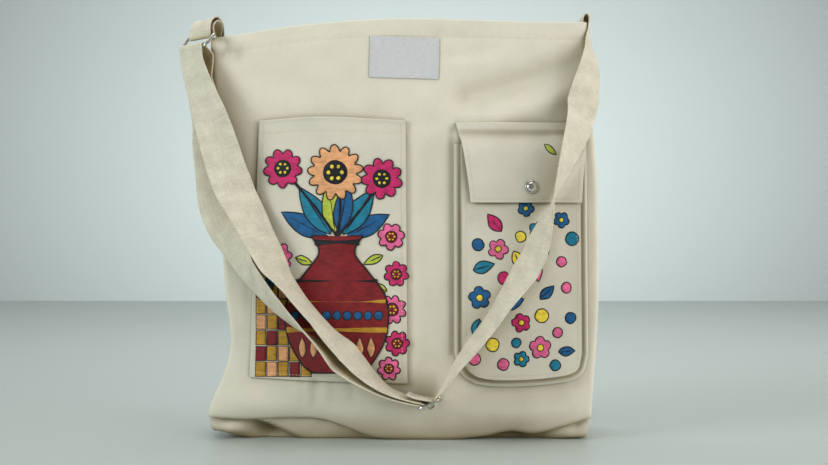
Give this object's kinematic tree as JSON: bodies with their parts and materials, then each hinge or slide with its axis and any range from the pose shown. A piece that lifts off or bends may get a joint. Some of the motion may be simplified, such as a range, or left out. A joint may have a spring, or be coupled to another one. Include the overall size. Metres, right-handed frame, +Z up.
{
  "type": "canvas shoulder bag",
  "caption": "Tall canvas shoulder bag with an open top, a flat patch pocket and a flapped bellows pocket on the front, and a long webbing strap with ring and slider laid across the front.",
  "frame": {"origin": "middle of the flat underside of the base, on the surface that the bag stands on", "axes": "+Z up, +Y towards the back of the bag, +X to the right as seen from the front"},
  "size_m": [0.4169, 0.17, 0.417],
  "materials": {
    "canvas": "matte",
    "webbing": "matte",
    "label": "satin",
    "metal": "polished"
  },
  "bodies": {
    "root": {"front_panel": "canvas", "back_panel": "canvas", "gusset": "canvas", "left_pocket": "canvas", "right_pocket": "canvas", "right_pocket_gusset": "canvas", "pocket_flap": "canvas", "snap_cap": "metal", "snap_stud": "metal", "label": "label", "ring_tab": "webbing", "ring": "metal", "strap": "webbing", "slider": "metal"}
  },
  "joints": []
}
